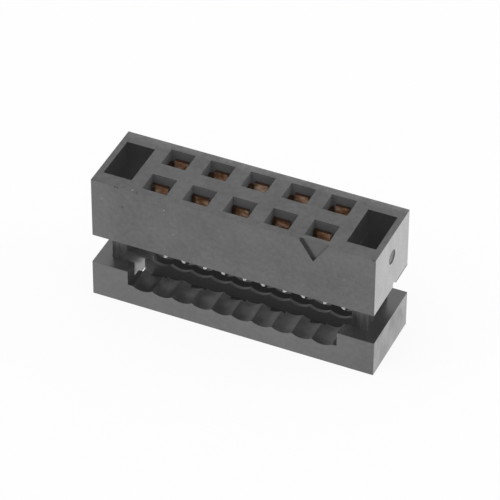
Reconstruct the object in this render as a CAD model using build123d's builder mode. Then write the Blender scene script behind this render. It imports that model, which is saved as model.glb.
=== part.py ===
from build123d import *
import os

os.makedirs("parts", exist_ok=True)

# A two-row ribbon-cable socket on a 2.54 mm grid, standing open on its cover.
# The origin is the centre of the cover's underside, +X runs along the rows,
# +Y to the back row and +Z up to the mating face. All sizes are in millimetres.

# Contact grid
contact_pitch = 2.54
contact_columns = 5

# Outer body
body_depth = 5.06
housing_height = 4.06
cover_height = 2.38
cover_overhang = 0.06
open_gap = 2.05
closed_gap = 0.02
corner_radius = 0.04

# Contact cavities in the housing
hole_width = 1.55
hole_depth = 1.47
fork_slot_height = 1.0

# Latch windows at the two ends of the housing
window_width = 1.80
window_depth = 3.18
ledge_reach = 0.28
ledge_lead = 0.14
ledge_height = 0.55
bead_radius = 0.08
bead_drop = 0.33

# Marks moulded into the housing
pin_mark_width = 1.76
pin_mark_drop = 1.33
pin_mark_depth = 0.20
ejector_radius = 0.45
ejector_drop = 1.60
ejector_depth = 0.04
vent_start = 0.30
vent_length = 0.46
vent_flat = 0.15
vent_height = 0.26

# Cable bed of the cover
recess_margin = 0.30
bed_drop = 0.98
groove_depth = 0.20
rib_front = 0.08
rib_back = 0.30
rib_half_length = 6.78
slot_floor = 0.32
pocket_width = 0.98
pocket_offset = 0.29
pocket_reach = 1.00
tip_clearance = 0.30

# Latch posts of the cover
post_thickness = 0.92
post_clearance = 0.05
post_inset = 0.44
post_insertion = 1.35
post_lead = 0.22
barb_clearance = 0.05
barb_tip_length = 0.23
barb_half = 1.00
snap_clearance = 0.03
core_hole_reach = 0.80

# Stamped contacts
stock = 0.20
bend_radius = 0.60
cavity_clearance = 0.02
slot_clearance = 0.035
leaf_clearance = 0.075
mouth_drop = 0.50
bulge_drop = 1.16
bend_drop = 2.21
bulge_half_gap = 0.28
mouth_half_gap = 0.42
inner_leaf_right = 0.35
outer_leaf_left = 0.45
outer_leaf_right = 0.43
side_wall_clearance = 0.055
side_wall_drop = 0.64
side_wall_half = 0.48
channel_base = 0.55
fork_half = 0.69
fork_tip_half_gap = 0.55
wire_slot_half = 0.11
wire_slot_top = 0.15
fork_throat = 0.56

# Sizes that follow from the values above
cable_pitch = contact_pitch / 2
row_offset = contact_pitch / 2
body_length = (contact_columns + 2) * contact_pitch
window_centre = (contact_columns + 1) / 2 * contact_pitch
housing_base = cover_height + open_gap
housing_top = housing_base + housing_height
cover_travel = open_gap - closed_gap
end_wall = body_length / 2 - window_centre - window_width / 2
cable_half = contact_columns * contact_pitch / 2
recess_half = cable_half + recess_margin
bed_height = cover_height - bed_drop
fork_reach = cover_height + closed_gap - slot_floor - tip_clearance
post_inner = window_centre - window_width / 2 + post_inset
post_outer = post_inner + post_thickness
post_half_depth = window_depth / 2 - post_clearance
post_top = housing_base + post_insertion
barb_base = ledge_height + barb_clearance
barb_reach = post_inset - bead_radius - snap_clearance
bead_height = barb_base + cover_travel - bead_drop
core_hole_half = barb_half + post_clearance
leaf_outer_face = hole_depth / 2 - cavity_clearance
leaf_inner_face = leaf_outer_face - stock
inner_leaf_left = hole_width / 2 - leaf_clearance
side_wall_outer = hole_width / 2 - side_wall_clearance
fork_offset = contact_pitch / 4
mouth_height = housing_height - mouth_drop
side_wall_top = housing_height - side_wall_drop
bulge_height = housing_height - bulge_drop
bend_height = housing_height - bend_drop
fork_slot_outer = row_offset - leaf_inner_face + slot_clearance
fork_slot_half = (contact_columns - 1) / 2 * contact_pitch + fork_offset + fork_half + slot_clearance


def column_x(index):
    """Place of a contact column along the socket."""
    return (index - (contact_columns - 1) / 2) * contact_pitch


columns = [column_x(index) for index in range(contact_columns)]

# Housing: a block with two rows of through cavities, a latch window at each
# end and the side slots that let each contact's fork reach its own wire.
with BuildPart() as housing:
    with BuildSketch(Plane.XY.offset(housing_base)):
        Rectangle(body_length, body_depth)
    extrude(amount=housing_height)
    fillet(housing.edges().filter_by(Axis.Z), radius=corner_radius)

    with BuildSketch(Plane.XY.offset(housing_base)):
        with GridLocations(contact_pitch, 2 * row_offset, contact_columns, 2):
            Rectangle(hole_width, hole_depth)
        with Locations((-window_centre, 0), (window_centre, 0)):
            Rectangle(window_width, window_depth)
    extrude(amount=housing_height, mode=Mode.SUBTRACT)

    # Thin slots beside the cavities, in the plane of the forks
    slot_reach = fork_offset + fork_half + slot_clearance
    slot_low = row_offset - leaf_outer_face - cavity_clearance
    slot_high = row_offset - leaf_inner_face + cavity_clearance
    with BuildSketch(Plane.XY.offset(housing_base)):
        for side in (-1, 1):
            for x in columns:
                with Locations((x - side * slot_reach / 2, side * (slot_low + slot_high) / 2)):
                    Rectangle(slot_reach, slot_high - slot_low)
    extrude(amount=fork_slot_height, mode=Mode.SUBTRACT)

    # Latch ledge and closing bead on the inner wall of each window
    for side in (-1, 1):
        wall_x = side * (window_centre - window_width / 2)
        with BuildSketch(Plane.XZ.offset(-window_depth / 2)):
            with BuildLine():
                Polyline(
                    (wall_x, housing_base),
                    (wall_x + side * (ledge_reach - ledge_lead), housing_base),
                    (wall_x + side * ledge_reach, housing_base + ledge_lead),
                    (wall_x + side * ledge_reach, housing_base + ledge_height),
                    (wall_x, housing_base + ledge_height),
                    close=True,
                )
            make_face()
        extrude(amount=window_depth)
        with BuildSketch(Plane.XZ.offset(-window_depth / 2)):
            with Locations((wall_x, housing_base + bead_height)):
                Circle(bead_radius)
        extrude(amount=window_depth)

    # Sunk triangle that marks contact 1, at the front top edge
    mark_x = columns[-1]
    with BuildSketch(Plane.XZ.offset(body_depth / 2)):
        with BuildLine():
            Polyline(
                (mark_x - pin_mark_width / 2, housing_top),
                (mark_x + pin_mark_width / 2, housing_top),
                (mark_x, housing_top - pin_mark_drop),
                close=True,
            )
        make_face()
    extrude(amount=-pin_mark_depth, mode=Mode.SUBTRACT)

    # Round ejector mark and vent notch in each end wall
    for side in (-1, 1):
        with BuildSketch(Plane.YZ.offset(side * body_length / 2)):
            with Locations((0, housing_top - ejector_drop)):
                Circle(ejector_radius)
        extrude(amount=-side * ejector_depth, mode=Mode.SUBTRACT)
        with BuildSketch(Plane.YZ.offset(side * body_length / 2)):
            with BuildLine():
                Polyline(
                    (side * vent_start, housing_base),
                    (side * vent_start, housing_base + vent_height),
                    (side * (vent_start + vent_flat), housing_base + vent_height),
                    (side * (vent_start + vent_length), housing_base),
                    close=True,
                )
            make_face()
        extrude(amount=-side * end_wall, mode=Mode.SUBTRACT)
housing.part.label = "housing"
export_step(housing.part, "parts/housing.step")

# Cover: a bar with a waved cable bed, slots for the fork tips and a latch
# post at each end that stands in the housing's window.
with BuildPart() as cover:
    with BuildSketch(Plane.XY):
        Rectangle(body_length + 2 * cover_overhang, body_depth)
    extrude(amount=cover_height)
    fillet(cover.edges().filter_by(Axis.Z), radius=corner_radius)

    # Cable bed: one hollow for each wire, between walls at the two ends
    with BuildSketch(Plane.XZ.offset(-body_depth / 2)):
        with BuildLine():
            Polyline(
                (-cable_half, bed_height),
                (-recess_half, bed_height),
                (-recess_half, cover_height),
                (recess_half, cover_height),
                (recess_half, bed_height),
                (cable_half, bed_height),
            )
            for wire in range(2 * contact_columns):
                start_x = cable_half - wire * cable_pitch
                ThreePointArc(
                    (start_x, bed_height),
                    (start_x - cable_pitch / 2, bed_height - groove_depth),
                    (start_x - cable_pitch, bed_height),
                )
        make_face()
    extrude(amount=body_depth, mode=Mode.SUBTRACT)

    # Long slots for the fork tips, before and behind a thin rib
    with BuildSketch(Plane.XY.offset(slot_floor)):
        for side, rib_face in ((-1, rib_front), (1, rib_back)):
            slot_face = side * fork_slot_outer
            pocket_face = side * pocket_reach
            with Locations((0, (rib_face + slot_face) / 2)):
                Rectangle(2 * fork_slot_half, abs(slot_face - rib_face))
            for x in columns:
                with Locations((x + side * pocket_offset, (rib_face + pocket_face) / 2)):
                    Rectangle(pocket_width, abs(pocket_face - rib_face))
    extrude(amount=cover_height, mode=Mode.SUBTRACT)

    # Core hole beside each post and below its barb, with the rib standing into it
    with BuildSketch(Plane.XY):
        for side in (-1, 1):
            with Locations((side * (post_inner - core_hole_reach / 2), 0)):
                Rectangle(core_hole_reach, 2 * core_hole_half)
            with Locations((side * (post_inner + recess_half) / 2, 0)):
                Rectangle(post_inner - recess_half, 2 * (post_half_depth + post_clearance))
    extrude(amount=cover_height, mode=Mode.SUBTRACT)
    with BuildSketch(Plane.XY):
        for side in (-1, 1):
            rib_root = post_inner - core_hole_reach
            with Locations((side * (rib_root + rib_half_length) / 2, (rib_front + rib_back) / 2)):
                Rectangle(rib_half_length - rib_root, rib_back - rib_front)
    extrude(amount=bed_height)

    # Latch posts, chamfered at the top, with a barb on the inner side
    for side in (-1, 1):
        with BuildSketch(Plane.XZ.offset(-post_half_depth)):
            with BuildLine():
                Polyline(
                    (side * post_inner, cover_height),
                    (side * post_outer, cover_height),
                    (side * post_outer, post_top - post_lead),
                    (side * (post_outer - post_lead), post_top),
                    (side * (post_inner + post_lead), post_top),
                    (side * post_inner, post_top - post_lead),
                    close=True,
                )
            make_face()
        extrude(amount=2 * post_half_depth)
        barb_z = housing_base + barb_base
        with BuildSketch(Plane.XZ.offset(-barb_half)):
            with BuildLine():
                Polyline(
                    (side * post_inner, barb_z),
                    (side * (post_inner - barb_reach), barb_z),
                    (side * (post_inner - barb_reach), barb_z + barb_tip_length),
                    (side * post_inner, post_top - post_lead),
                    close=True,
                )
            make_face()
        extrude(amount=2 * barb_half)
cover.part.label = "cover"
export_step(cover.part, "parts/cover.step")


def leaf_profile(sign):
    """Side view of one leaf: straight at the base, bowed to the pin, flared at the mouth."""
    base_y = sign * leaf_outer_face
    bulge_y = sign * (bulge_half_gap + stock)
    mouth_y = sign * (mouth_half_gap + stock)
    with BuildSketch(Plane.YZ.offset(-body_depth)) as profile:
        with BuildLine():
            spine = FilletPolyline(
                (base_y, -fork_reach),
                (base_y, bend_height),
                (bulge_y, bulge_height),
                (mouth_y, mouth_height),
                radius=bend_radius,
            )
            offset(spine, amount=stock, side=Side.RIGHT if sign < 0 else Side.LEFT, closed=True)
        make_face()
    return profile.sketch


# Inner leaf: the upper half grips the pin, the lower half steps sideways to
# the fork that cuts into one wire.
with BuildPart() as inner_leaf:
    extrude(leaf_profile(1), amount=2 * body_depth)
    with BuildSketch(Plane.XZ.offset(-body_depth)):
        with BuildLine():
            Polyline(
                (-inner_leaf_left, mouth_height),
                (-inner_leaf_left, channel_base),
                (fork_offset - fork_half, 0),
                (fork_offset - fork_half, -fork_reach),
                (fork_offset - fork_tip_half_gap, -fork_reach),
                (fork_offset - wire_slot_half, -fork_reach + fork_throat),
                (fork_offset - wire_slot_half, wire_slot_top),
                (fork_offset + wire_slot_half, wire_slot_top),
                (fork_offset + wire_slot_half, -fork_reach + fork_throat),
                (fork_offset + fork_tip_half_gap, -fork_reach),
                (fork_offset + fork_half, -fork_reach),
                (fork_offset + fork_half, channel_base),
                (side_wall_outer, fork_slot_height - slot_clearance),
                (side_wall_outer, bend_height),
                (inner_leaf_right, bend_height),
                (inner_leaf_right, mouth_height),
                close=True,
            )
        make_face()
    extrude(amount=2 * body_depth, mode=Mode.INTERSECT)

with BuildPart() as outer_leaf:
    extrude(leaf_profile(-1), amount=2 * body_depth)
    with BuildSketch(Plane.XZ.offset(-body_depth)):
        with BuildLine():
            Polyline(
                (-outer_leaf_left, mouth_height),
                (-outer_leaf_left, channel_base),
                (side_wall_outer, channel_base),
                (side_wall_outer, bend_height),
                (outer_leaf_right, bend_height),
                (outer_leaf_right, mouth_height),
                close=True,
            )
        make_face()
    extrude(amount=2 * body_depth, mode=Mode.INTERSECT)

# Side wall: joins the two leaves at the base and stands up between them
with BuildPart() as side_wall:
    with BuildSketch(Plane.YZ.offset(side_wall_outer)):
        with BuildLine():
            Polyline(
                (-leaf_outer_face, channel_base),
                (leaf_outer_face, channel_base),
                (leaf_outer_face, bend_height),
                (side_wall_half, bend_height),
                (side_wall_half, side_wall_top),
                (-side_wall_half, side_wall_top),
                (-side_wall_half, bend_height),
                (-leaf_outer_face, bend_height),
                close=True,
            )
        make_face()
    extrude(amount=-stock)

# Ten contacts: the front row as stamped, the back row turned half round
number = 0
for row in (-1, 1):
    for x in columns:
        number += 1
        turn = 0 if row < 0 else 180
        place = Location((x, row * row_offset, housing_base), (0, 0, turn))
        with BuildPart() as contact:
            with Locations(place):
                add(inner_leaf.part)
                add(outer_leaf.part)
                add(side_wall.part)
        contact.part.label = f"contact_{number:02d}"
        export_step(contact.part, f"parts/contact_{number:02d}.step")
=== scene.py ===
import math
import bmesh
import bpy
from mathutils import Matrix, Vector

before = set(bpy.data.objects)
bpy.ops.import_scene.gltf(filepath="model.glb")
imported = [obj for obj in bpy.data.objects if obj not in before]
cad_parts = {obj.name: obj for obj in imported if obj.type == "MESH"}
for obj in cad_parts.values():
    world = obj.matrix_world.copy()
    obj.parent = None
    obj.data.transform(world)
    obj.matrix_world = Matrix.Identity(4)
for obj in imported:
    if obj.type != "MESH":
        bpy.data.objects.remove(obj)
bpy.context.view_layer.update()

scene = bpy.context.scene
scene.view_settings.view_transform = "Standard"

# camera: a long lens, to the right of the front and well above it
cameraSet = {
    "turn": 23.9404,                 # degrees to the right of the front
    "rise": 39.3615,                 # degrees above the floor
    "roll": 0.3038,
    "distance": 0.2012444,
    "lens": 252.964,
    "sensor": 36.0,
    "clip": (0.005, 5.0),
    "target": (0.0, 0.0, 0.00849),   # middle of the mating face
    "slideRight": 0.0000348,
    "slideUp": -0.003166,
}


def makeCamera(values):
    turn, rise, roll = (math.radians(values[key]) for key in ("turn", "rise", "roll"))
    level = math.cos(rise)
    back = Vector((math.sin(turn) * level, -math.cos(turn) * level, math.sin(rise)))
    right = Vector((math.cos(turn), math.sin(turn), 0.0))
    up = back.cross(right)
    tiltRight = math.cos(roll) * right + math.sin(roll) * up
    tiltUp = -math.sin(roll) * right + math.cos(roll) * up
    place = Vector(values["target"]) + values["distance"] * back
    place += values["slideRight"] * tiltRight + values["slideUp"] * tiltUp
    data = bpy.data.cameras.new("camera")
    data.lens = values["lens"]
    data.sensor_width = values["sensor"]
    data.clip_start, data.clip_end = values["clip"]
    camera = bpy.data.objects.new("camera", data)
    scene.collection.objects.link(camera)
    camera.matrix_world = Matrix((
        (tiltRight.x, tiltUp.x, back.x, place.x),
        (tiltRight.y, tiltUp.y, back.y, place.y),
        (tiltRight.z, tiltUp.z, back.z, place.z),
        (0.0, 0.0, 0.0, 1.0),
    ))
    scene.camera = camera


makeCamera(cameraSet)
print("camera placed")


# small helpers for node trees
def newMaterial(name):
    material = bpy.data.materials.new(name)
    material.use_nodes = True
    tree = material.node_tree
    tree.nodes.clear()
    output = tree.nodes.new("ShaderNodeOutputMaterial")
    return material, tree, output


def addNode(tree, kind, **settings):
    node = tree.nodes.new(kind)
    for key, value in settings.items():
        setattr(node, key, value)
    return node


def joinNodes(tree, source, target):
    tree.links.new(source, target)


def setInputs(node, values):
    for key, value in values.items():
        node.inputs[key].default_value = value


def mathNode(tree, operation, *terms):
    node = addNode(tree, "ShaderNodeMath", operation=operation)
    for index, term in enumerate(terms):
        if isinstance(term, (int, float)):
            node.inputs[index].default_value = term
        else:
            joinNodes(tree, term, node.inputs[index])
    return node.outputs[0]


# masks run from 0 to 1: where all of them hold, and where any of them does
def allOf(tree, mask, *others):
    for other in others:
        mask = mathNode(tree, "MULTIPLY", mask, other)
    return mask


def anyOf(tree, mask, *others):
    for other in others:
        mask = mathNode(tree, "MAXIMUM", mask, other)
    return mask


def axesNode(tree, vector):
    split = addNode(tree, "ShaderNodeSeparateXYZ")
    joinNodes(tree, vector, split.inputs[0])
    return split.outputs


# runs from low to high while the source goes from start to end
def rangeNode(tree, source, start, end, low=0.0, high=1.0):
    node = addNode(tree, "ShaderNodeMapRange")
    setInputs(node, {"From Min": start, "From Max": end, "To Min": low, "To Max": high})
    joinNodes(tree, source, node.inputs["Value"])
    return node.outputs[0]


# 1 where the coordinate is within half of middle, fading to 0 over a soft edge
def nearNode(tree, coordinate, middle, half, soft):
    away = mathNode(tree, "ABSOLUTE", mathNode(tree, "SUBTRACT", coordinate, middle))
    return rangeNode(tree, away, half + soft, half)


# 1 inside a box of half sizes about a middle
def boxNode(tree, axes, middle, halves, soft):
    near = [nearNode(tree, *side, soft) for side in zip(axes, middle, halves)]
    return allOf(tree, *near)


# soft round spots, each a place and a radius
def spotsNode(tree, place, spots, core):
    found = []
    for *middle, radius in spots:
        away = addNode(tree, "ShaderNodeVectorMath", operation="DISTANCE")
        joinNodes(tree, place, away.inputs[0])
        away.inputs[1].default_value = middle
        half = core * radius
        found.append(nearNode(tree, away.outputs["Value"], 0.0, half, radius - half))
    return anyOf(tree, *found)


# distance along the rows from the left side of a contact's own column
def columnNode(tree, x, pitch):
    return mathNode(tree, "FLOORED_MODULO", mathNode(tree, "ADD", x, pitch / 2), pitch)


def noiseNode(tree, place, scale, detail=3.0, stretch=None, wave=0.0, rough=0.6):
    noise = addNode(tree, "ShaderNodeTexNoise")
    setInputs(noise, {"Scale": scale, "Detail": detail, "Roughness": rough, "Distortion": wave})
    if stretch:
        mapping = addNode(tree, "ShaderNodeMapping")
        mapping.inputs["Scale"].default_value = stretch
        joinNodes(tree, place, mapping.inputs["Vector"])
        place = mapping.outputs[0]
    joinNodes(tree, place, noise.inputs["Vector"])
    return noise.outputs["Fac"]


# stops are pairs of a position and a colour
def rampNode(tree, factor, *stops):
    node = addNode(tree, "ShaderNodeValToRGB")
    elements = node.color_ramp.elements
    while len(elements) < len(stops):
        elements.new(0.5)
    for element, (position, colour) in zip(elements, stops):
        element.position = position
        element.color = (*colour, 1.0)
    joinNodes(tree, factor, node.inputs["Fac"])
    return node.outputs["Color"]


def blendNode(tree, factor, first, second):
    blend = addNode(tree, "ShaderNodeMix", data_type="RGBA")
    joinNodes(tree, factor, blend.inputs["Factor"])
    for key, colour in (("A", first), ("B", second)):
        if isinstance(colour, tuple):
            blend.inputs[key].default_value = (*colour, 1.0)
        else:
            joinNodes(tree, colour, blend.inputs[key])
    return blend.outputs["Result"]


def bumpNode(tree, height, strength, depth, normal=None):
    bump = addNode(tree, "ShaderNodeBump")
    setInputs(bump, {"Strength": strength, "Distance": depth})
    joinNodes(tree, height, bump.inputs["Height"])
    if normal:
        joinNodes(tree, normal, bump.inputs["Normal"])
    return bump.outputs["Normal"]


# 1 for what the camera sees directly, mirrored or through glass
def seenNode(tree):
    rays = addNode(tree, "ShaderNodeLightPath").outputs
    kinds = ("Is Camera Ray", "Is Glossy Ray", "Is Transmission Ray")
    return anyOf(tree, *(rays[kind] for kind in kinds))


def mixShaders(tree, factor, first, second, output):
    mix = addNode(tree, "ShaderNodeMixShader")
    for source, target in zip((factor, first, second), mix.inputs):
        joinNodes(tree, source, target)
    joinNodes(tree, mix.outputs[0], output.inputs["Surface"])


white = (1.0, 1.0, 1.0, 1.0)

# floor: white to the camera, with a trace of shadow, and white in reflections
floorSet = {
    "size": 1.2,
    "paint": (0.86, 0.86, 0.86, 1.0),
    "glow": 0.90,        # share of the plain white
    "strength": 1.0,
}


def makeFloor(values):
    bm = bmesh.new()
    bmesh.ops.create_grid(bm, x_segments=1, y_segments=1, size=values["size"])
    mesh = bpy.data.meshes.new("floor")
    bm.to_mesh(mesh)
    bm.free()
    floor = bpy.data.objects.new("floor", mesh)
    scene.collection.objects.link(floor)
    material, tree, output = newMaterial("white_table")
    paint = addNode(tree, "ShaderNodeBsdfDiffuse")
    setInputs(paint, {"Color": values["paint"]})
    glow = addNode(tree, "ShaderNodeEmission")
    setInputs(glow, {"Color": white, "Strength": values["strength"]})
    share = mathNode(tree, "MULTIPLY", seenNode(tree), values["glow"])
    mixShaders(tree, share, paint.outputs[0], glow.outputs[0], output)
    mesh.materials.append(material)


makeFloor(floorSet)

# studio light: an even white room and two large soft lamps
lightSet = {
    "room": 0.75,
    "aim": (0.0, 0.0, 0.004),
    "overhead_lamp": {"place": (-0.25, -0.30, 0.75), "size": 0.7, "power": 2.2},
    "side_lamp": {"place": (0.65, 0.25, 0.30), "size": 0.6, "power": 1.6},
}


def makeRoom(strength):
    world = bpy.data.worlds.new("room")
    scene.world = world
    world.use_nodes = True
    tree = world.node_tree
    tree.nodes.clear()
    output = tree.nodes.new("ShaderNodeOutputWorld")
    light, backdrop = (addNode(tree, "ShaderNodeBackground") for _ in range(2))
    setInputs(light, {"Color": white, "Strength": strength})
    setInputs(backdrop, {"Color": white, "Strength": 1.0})
    mixShaders(tree, seenNode(tree), light.outputs[0], backdrop.outputs[0], output)


def makeLamp(name, values, aim):
    data = bpy.data.lights.new(name, "AREA")
    data.shape = "SQUARE"
    data.size = values["size"]
    data.energy = values["power"]
    lamp = bpy.data.objects.new(name, data)
    scene.collection.objects.link(lamp)
    lamp.location = values["place"]
    towards = Vector(aim) - Vector(values["place"])
    lamp.rotation_euler = towards.to_track_quat("-Z", "Y").to_euler()
    lamp.visible_glossy = False  # no lamp shape in the gloss


makeRoom(lightSet["room"])
for lampName in ("overhead_lamp", "side_lamp"):
    makeLamp(lampName, lightSet[lampName], lightSet["aim"])
print("floor and light set")

# black moulded plastic: a smooth dark skin outside, dull walls in the contact holes painted paler
# grey as the light they catch, a dull cable bed painted with shade by its ridges and light in its
# hollows, a dull latch, end faces with upright flow streaks and a pale colour painted as light
# from the side, painted light on the ejector mark's wall and a painted shade line along the foot
# of the end wall
plasticSet = {
    # darkest and palest colour of each finish
    "skin": ((0.012, 0.012, 0.013), (0.030, 0.030, 0.033)),
    "top": ((0.000, 0.000, 0.001), (0.036, 0.036, 0.039)),
    "backEdge": ((0.020, 0.020, 0.022), (0.095, 0.095, 0.100)),
    "front": ((0.023, 0.023, 0.026), (0.059, 0.059, 0.063)),
    # the front, paler towards its left end, and the cover's front paler towards its right end
    "paleFront": ((0.054, 0.054, 0.056), (0.082, 0.082, 0.085)),
    # end faces: real upright flow streaks, in a pale colour painted as light from the side
    "streaksAndSideLight": ((0.140, 0.140, 0.140), (0.210, 0.210, 0.210)),
    "stained": ((0.000, 0.000, 0.000), (0.080, 0.080, 0.080)),
    # contact hole walls: a paler grey painted as the light they catch, varied by a random tone
    "holeWallLight": ((0.080, 0.081, 0.084), (0.115, 0.116, 0.120)),
    "post": ((0.004, 0.004, 0.004), (0.052, 0.052, 0.052)),
    # cable bed: painted dark as shade away from the middles of its hollows
    "bed": ((0.000, 0.000, 0.000), (0.046, 0.044, 0.044)),
    "skinRamp": (0.35, 0.70),            # where a noise is darkest and palest
    "finishRamp": (0.38, 0.62),
    # plain colours
    # the lit band up the front of the rib: painted light
    "ribLitBand": (0.044, 0.044, 0.044),
    "ejectorFace": (0.030, 0.030, 0.030),
    # the ejector mark's wall: a pale colour painted as light, taking away its shade
    "ejectorWallLight": (0.250, 0.250, 0.250),
    # plain black for the nicks, and for the painted shade line at the foot of the end wall
    "nick": (0.000, 0.000, 0.000),
    "scuff": (0.130, 0.130, 0.130),
    # noises that vary the colours and the surface
    "tone": {"scale": 420.0, "detail": 4.0},
    "speck": {"scale": 3200.0, "detail": 4.0},
    "streak": {"scale": 1700.0, "detail": 4.0, "stretch": (1.0, 1.0, 0.22), "wave": 0.6},
    "stain": {"scale": 900.0, "detail": 5.0, "stretch": (1.0, 1.0, 0.5), "wave": 0.5},
    "grain": {"scale": 9000.0},
    "lump": {"scale": 1100.0, "detail": 0.5},
    # surface
    "roughness": 0.27,
    "dullRoughness": 0.60,
    "bedShare": 0.40,                    # how dull the bed is
    "topWorn": 0.34,                     # how much of the gloss is gone
    "stainWorn": 0.75,
    "ior": 1.5,
    "skinRoughness": 0.26,
    "shadowLiftGlow": 0.014,                       # a painted glow all over the plastic that lifts the deepest shadows
    "edgeRadius": 0.00001,
    "grainStrength": 0.08,
    "grainDepth": 0.00002,
    "lumpDepth": 0.00005,
    # where the finishes lie, in metres
    "softEdge": 0.00001,
    "pitch": 0.00254,
    "columns": 5,
    "hole": (0.000785, 0.000745),        # half its width and depth
    "rowOffset": 0.00127,
    "housing": (0.00443, 0.00848),       # heights of its foot and of its rim
    "cover": 0.00238,
    "bedBox": (0.00664, 0.00251, 0.00145),   # half length, half depth, top
    "hollow": (0.00127, 0.00155),        # pitch of the wires, depth of a middle painted with light
    "hollowPale": (0.00005, 0.00055),    # half of a pale middle, its soft edge
    "hollowTone": (0.30, 0.13),          # how pale the painted light in the middles is, how dark the painted shade in the rest
    "rib": (0.00008, 0.00030, 0.00048),  # front, back, foot of the lit band
    "latch": (0.00718, 0.00815, 0.00160),    # inner end, outer end, half depth
    "backRun": (0.0019, 0.0025),         # the top pales towards its back edge
    "paleFrontRun": (-0.0070, -0.0090),     # and the front towards its left end
    "paleCoverFrontRun": (0.0085, 0.0030, 0.35, 0.95),   # places, then shares
    "endFace": 0.00880,
    "endFacing": 0.9,                    # how squarely an end face looks along the rows
    "frontFace": -0.00252,
    "frontFacing": -0.5,
    "ejector": (0.0, 0.00689, 0.00045),  # depth, height and radius
    # a painted shade line along the foot of the end wall
    "footShade": (0.00070, 0.00260, 0.00007),    # from, to, half height
    # place, radius: small scuffs and nicks of the moulding
    "scuffs": (
        (-0.00819, -0.00253, 0.00734, 0.00009),
        (-0.00423, -0.00253, 0.00778, 0.00009),
        (-0.00423, -0.00253, 0.00749, 0.00006),
        (-0.00629, -0.00238, 0.00849, 0.00009),
        (-0.00365, -0.00253, 0.00619, 0.00006),
    ),
    "nicks": (
        (-0.00593, -0.00253, 0.00849, 0.00007),
        (-0.00716, -0.00253, 0.00849, 0.00008),
        (-0.00734, -0.00253, 0.00849, 0.00008),
        (-0.00687, -0.00253, 0.00716, 0.00007),
        (0.00876, -0.00252, 0.00849, 0.00009),
    ),
    "spotCore": 0.4,                     # share of a spot's radius at full strength
}


# one mask for each region of the two mouldings
def findPlaces(tree, place, normal, values):
    x, y, z = axesNode(tree, place)
    normalX, normalY, _ = axesNode(tree, normal)
    absX = mathNode(tree, "ABSOLUTE", x)
    absY = mathNode(tree, "ABSOLUTE", y)
    soft = values["softEdge"]
    pitch = values["pitch"]
    foot, rim = values["housing"]
    masks = {}

    # contact holes, in their columns
    masks["hole"] = allOf(
        tree,
        boxNode(tree, (columnNode(tree, x, pitch), absY, z),
                (pitch / 2, values["rowOffset"], (foot + rim) / 2),
                (*values["hole"], (rim - foot) / 2 - 2 * soft), soft),
        nearNode(tree, x, 0.0, values["columns"] / 2 * pitch, soft))

    # cable bed, the painted light in the middles of its hollows, and the painted light on the band
    # up the front of its rib
    halfLength, _, bedTop = values["bedBox"]
    masks["bed"] = boxNode(tree, (x, y, z), (0.0, 0.0, 0.0), values["bedBox"], soft)
    wirePitch, hollowMiddle = values["hollow"]
    fromWire = mathNode(tree, "FLOORED_MODULO", x, wirePitch)
    masks["hollow"] = allOf(
        tree,
        nearNode(tree, fromWire, wirePitch / 2, *values["hollowPale"]),
        nearNode(tree, absY, hollowMiddle, *values["hollowPale"]))
    ribFront, ribBack, ribFoot = values["rib"]
    masks["rib"] = allOf(
        tree,
        boxNode(tree, (x, y, z), (0.0, (ribFront + ribBack) / 2, (ribFoot + bedTop) / 2),
                (halfLength, (ribBack - ribFront) / 2, (bedTop - ribFoot) / 2), soft),
        mathNode(tree, "LESS_THAN", normalY, values["frontFacing"]))

    # latch posts and the walls beside them
    latchFrom, latchTo, latchHalf = values["latch"]
    masks["latch"] = boxNode(tree, (absX, y, z), ((latchFrom + latchTo) / 2, 0.0, bedTop),
                             ((latchTo - latchFrom) / 2, latchHalf, foot - bedTop), soft)

    # outer faces
    outside = mathNode(tree, "GREATER_THAN", absX, values["endFace"])
    turned = mathNode(tree, "ABSOLUTE", normalX)
    sideways = mathNode(tree, "GREATER_THAN", turned, values["endFacing"])
    masks["end"] = allOf(tree, outside, sideways)
    masks["top"] = mathNode(tree, "GREATER_THAN", z, rim)
    masks["front"] = mathNode(tree, "LESS_THAN", y, values["frontFace"])
    low = mathNode(tree, "LESS_THAN", z, values["cover"])
    masks["backEdge"] = allOf(tree, masks["top"], rangeNode(tree, y, *values["backRun"]))
    masks["paleFront"] = allOf(tree, masks["front"], rangeNode(tree, x, *values["paleFrontRun"]))
    masks["paleCoverFront"] = allOf(
        tree, masks["front"], low, rangeNode(tree, x, *values["paleCoverFrontRun"]))
    masks["stained"] = allOf(tree, masks["end"], low)

    # ejector mark, with painted light on its wall that takes away its shade, and a painted shade
    # line along the foot of the end wall
    ejectorY, ejectorZ, ejectorRadius = values["ejector"]
    squares = [mathNode(tree, "POWER", mathNode(tree, "SUBTRACT", axis, middle), 2.0)
               for axis, middle in ((y, ejectorY), (z, ejectorZ))]
    away = mathNode(tree, "SQRT", mathNode(tree, "ADD", *squares))
    inEjector = mathNode(tree, "LESS_THAN", away, ejectorRadius + soft)
    masks["ejector"] = allOf(tree, masks["end"], inEjector)
    masks["ejectorWallLight"] = allOf(
        tree, outside, inEjector, mathNode(tree, "SUBTRACT", 1.0, sideways))
    footShadeFrom, footShadeTo, footShadeHeight = values["footShade"]
    masks["footShade"] = allOf(
        tree, masks["end"],
        boxNode(tree, (y, z), ((footShadeFrom + footShadeTo) / 2, foot),
                ((footShadeTo - footShadeFrom) / 2, footShadeHeight), soft))
    masks["scuff"] = spotsNode(tree, place, values["scuffs"], values["spotCore"])
    masks["nick"] = spotsNode(tree, place, values["nicks"], values["spotCore"])
    return masks


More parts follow.
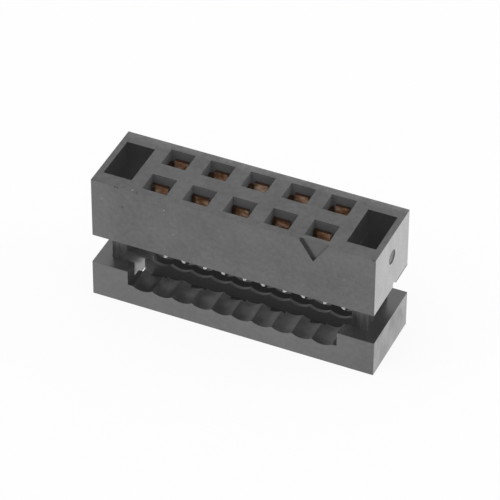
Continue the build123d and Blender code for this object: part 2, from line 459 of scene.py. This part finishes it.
def paintPlastic(tree, masks, noises, values):
    tone, streak = noises["tone"], noises["streak"]
    mottle = mathNode(tree, "MULTIPLY", mathNode(tree, "ADD", tone, noises["speck"]), 0.5)
    # bed colour: painted shade towards the ridges, painted light in the middles of the hollows
    palest, darkest = values["hollowTone"]
    hollowTone = mathNode(tree, "MULTIPLY_ADD", masks["hollow"], palest,
                          mathNode(tree, "SUBTRACT", tone, darkest))
    colour = rampNode(tree, mottle, *zip(values["skinRamp"], values["skin"]))
    for mask, factor, finish in (
        ("top", mottle, "top"),
        ("backEdge", mottle, "backEdge"),
        ("front", mottle, "front"),
        ("paleFront", mottle, "paleFront"),
        ("paleCoverFront", mottle, "paleFront"),
        ("end", streak, "streaksAndSideLight"),
        ("stained", noises["stain"], "stained"),
        ("hole", tone, "holeWallLight"),
        ("latch", streak, "post"),
        ("bed", hollowTone, "bed"),
    ):
        painted = rampNode(tree, factor, *zip(values["finishRamp"], values[finish]))
        colour = blendNode(tree, masks[mask], colour, painted)
    for mask, plain in (
        ("rib", "ribLitBand"),
        ("ejector", "ejectorFace"),
        ("nick", "nick"),
        # the painted shade line at the foot of the end wall, in the nicks' plain black
        ("footShade", "nick"),
        ("scuff", "scuff"),
        ("ejectorWallLight", "ejectorWallLight"),
    ):
        colour = blendNode(tree, masks[mask], colour, values[plain])
    return colour


def makePlastic(values):
    material, tree, output = newMaterial("black_moulded_plastic")
    coordinates = addNode(tree, "ShaderNodeTexCoord").outputs
    place = coordinates["Object"]
    masks = findPlaces(tree, place, coordinates["Normal"], values)
    noises = {name: noiseNode(tree, place, **values[name])
              for name in ("tone", "speck", "streak", "stain", "grain", "lump")}

    # roughness below the skin, and where the glossy skin is bare or worn
    dull = anyOf(tree, masks["hole"], mathNode(tree, "MULTIPLY", masks["bed"], values["bedShare"]),
                 masks["nick"], masks["footShade"])
    rough = rangeNode(tree, dull, 0.0, 1.0, values["roughness"], values["dullRoughness"])
    worn = anyOf(
        tree,
        mathNode(tree, "MULTIPLY", masks["top"], values["topWorn"]),
        allOf(tree, masks["stained"],
              mathNode(tree, "SUBTRACT", values["stainWorn"], noises["stain"])))
    bare = [masks[name] for name in ("hole", "bed", "latch", "ejector", "footShade", "nick")]
    skin = mathNode(tree, "SUBTRACT", 1.0, anyOf(tree, worn, *bare))

    # rounded edges, soft lumps in the bed, fine grain all over
    bevel = addNode(tree, "ShaderNodeBevel", samples=6)
    setInputs(bevel, {"Radius": values["edgeRadius"]})
    lump = bumpNode(tree, allOf(tree, masks["bed"], noises["lump"]),
                    1.0, values["lumpDepth"], bevel.outputs["Normal"])
    normal = bumpNode(tree, noises["grain"], values["grainStrength"], values["grainDepth"], lump)

    plastic = addNode(tree, "ShaderNodeBsdfPrincipled")
    setInputs(plastic, {
        "IOR": values["ior"],
        "Coat Roughness": values["skinRoughness"],
        "Coat IOR": values["ior"],
        "Emission Color": white,
        "Emission Strength": values["shadowLiftGlow"],
    })
    for source, target in (
        (paintPlastic(tree, masks, noises, values), "Base Color"),
        (rough, "Roughness"),
        (skin, "Coat Weight"),
        (normal, "Normal"),
        (normal, "Coat Normal"),
    ):
        joinNodes(tree, source, plastic.inputs[target])
    joinNodes(tree, plastic.outputs[0], output.inputs["Surface"])
    return material


# contact metal: phosphor bronze, uneven and stained at the leaves, with painted highlights on them
# and painted shade along their top edges and sides, with bright tin on the fork
metalSet = {
    # positions on the ramp of stains and painted highlights, and their colours
    "stainAndHighlightRamp": (
        (0.36, (0.20, 0.100, 0.050)),    # stained
        (0.49, (0.42, 0.235, 0.138)),    # bare bronze
        (0.70, (0.98, 0.77, 0.59)),      # painted highlight
    ),
    # painted shade along the leaves' top edges and sides
    "leafEdgeShade": (0.055, 0.028, 0.018),
    "tin": (0.86, 0.85, 0.84),
    "metallic": 0.55,
    "roughness": 0.34,
    "tinRun": (0.0048, 0.0042),          # heights at which the tin begins and is full
    "stainAndHighlight": {"scale": 2100.0, "stretch": (0.6, 1.0, 1.2), "wave": 0.3},
    "rearHighlight": 0.02,                    # the rear row gets more painted highlight
    "topFacing": 0.6,
    "crownHalf": 0.0005,                 # the leaves are slightly crowned across
    "crownDepth": 0.00009,
    "sideRun": (0.74, 1.0, 0.0, 0.85),   # and get painted shade towards their sides
    "pitch": 0.00254,
}


def makeMetal(values):
    material, tree, output = newMaterial("plated_copper_alloy")
    coordinates = addNode(tree, "ShaderNodeTexCoord").outputs
    place = coordinates["Object"]
    x, y, z = axesNode(tree, place)
    facingUp = axesNode(tree, coordinates["Normal"])["Z"]
    plated = rangeNode(tree, z, *values["tinRun"])
    leaf = mathNode(tree, "SUBTRACT", 1.0, plated)
    pitch = values["pitch"]
    fromMiddle = mathNode(tree, "SUBTRACT", columnNode(tree, x, pitch), pitch / 2)
    across = mathNode(tree, "DIVIDE", fromMiddle, values["crownHalf"])
    side = rangeNode(tree, mathNode(tree, "ABSOLUTE", across), *values["sideRun"])
    topEdge = mathNode(tree, "GREATER_THAN", facingUp, values["topFacing"])
    # where the leaves get painted shade: their top edges and sides
    shadedEdge = allOf(tree, leaf, anyOf(tree, topEdge, side))

    rear = mathNode(tree, "GREATER_THAN", y, 0.0)
    stainAndHighlight = mathNode(tree, "MULTIPLY_ADD", rear, values["rearHighlight"],
                    noiseNode(tree, place, **values["stainAndHighlight"]))
    colour = rampNode(tree, stainAndHighlight, *values["stainAndHighlightRamp"])
    colour = blendNode(tree, shadedEdge, colour, values["leafEdgeShade"])
    colour = blendNode(tree, plated, colour, values["tin"])

    crown = mathNode(tree, "SUBTRACT", 1.0, mathNode(tree, "MULTIPLY", across, across))
    normal = bumpNode(tree, allOf(tree, leaf, crown), 1.0, values["crownDepth"])
    metal = addNode(tree, "ShaderNodeBsdfPrincipled")
    setInputs(metal, {"Metallic": values["metallic"], "Roughness": values["roughness"]})
    joinNodes(tree, colour, metal.inputs["Base Color"])
    joinNodes(tree, normal, metal.inputs["Normal"])
    joinNodes(tree, metal.outputs[0], output.inputs["Surface"])
    return material


plastic = makePlastic(plasticSet)
metal = makeMetal(metalSet)
for name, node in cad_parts.items():
    finish = metal if name.startswith("contact") else plastic
    for slot in node.material_slots:
        slot.material = finish
print("finishes set")
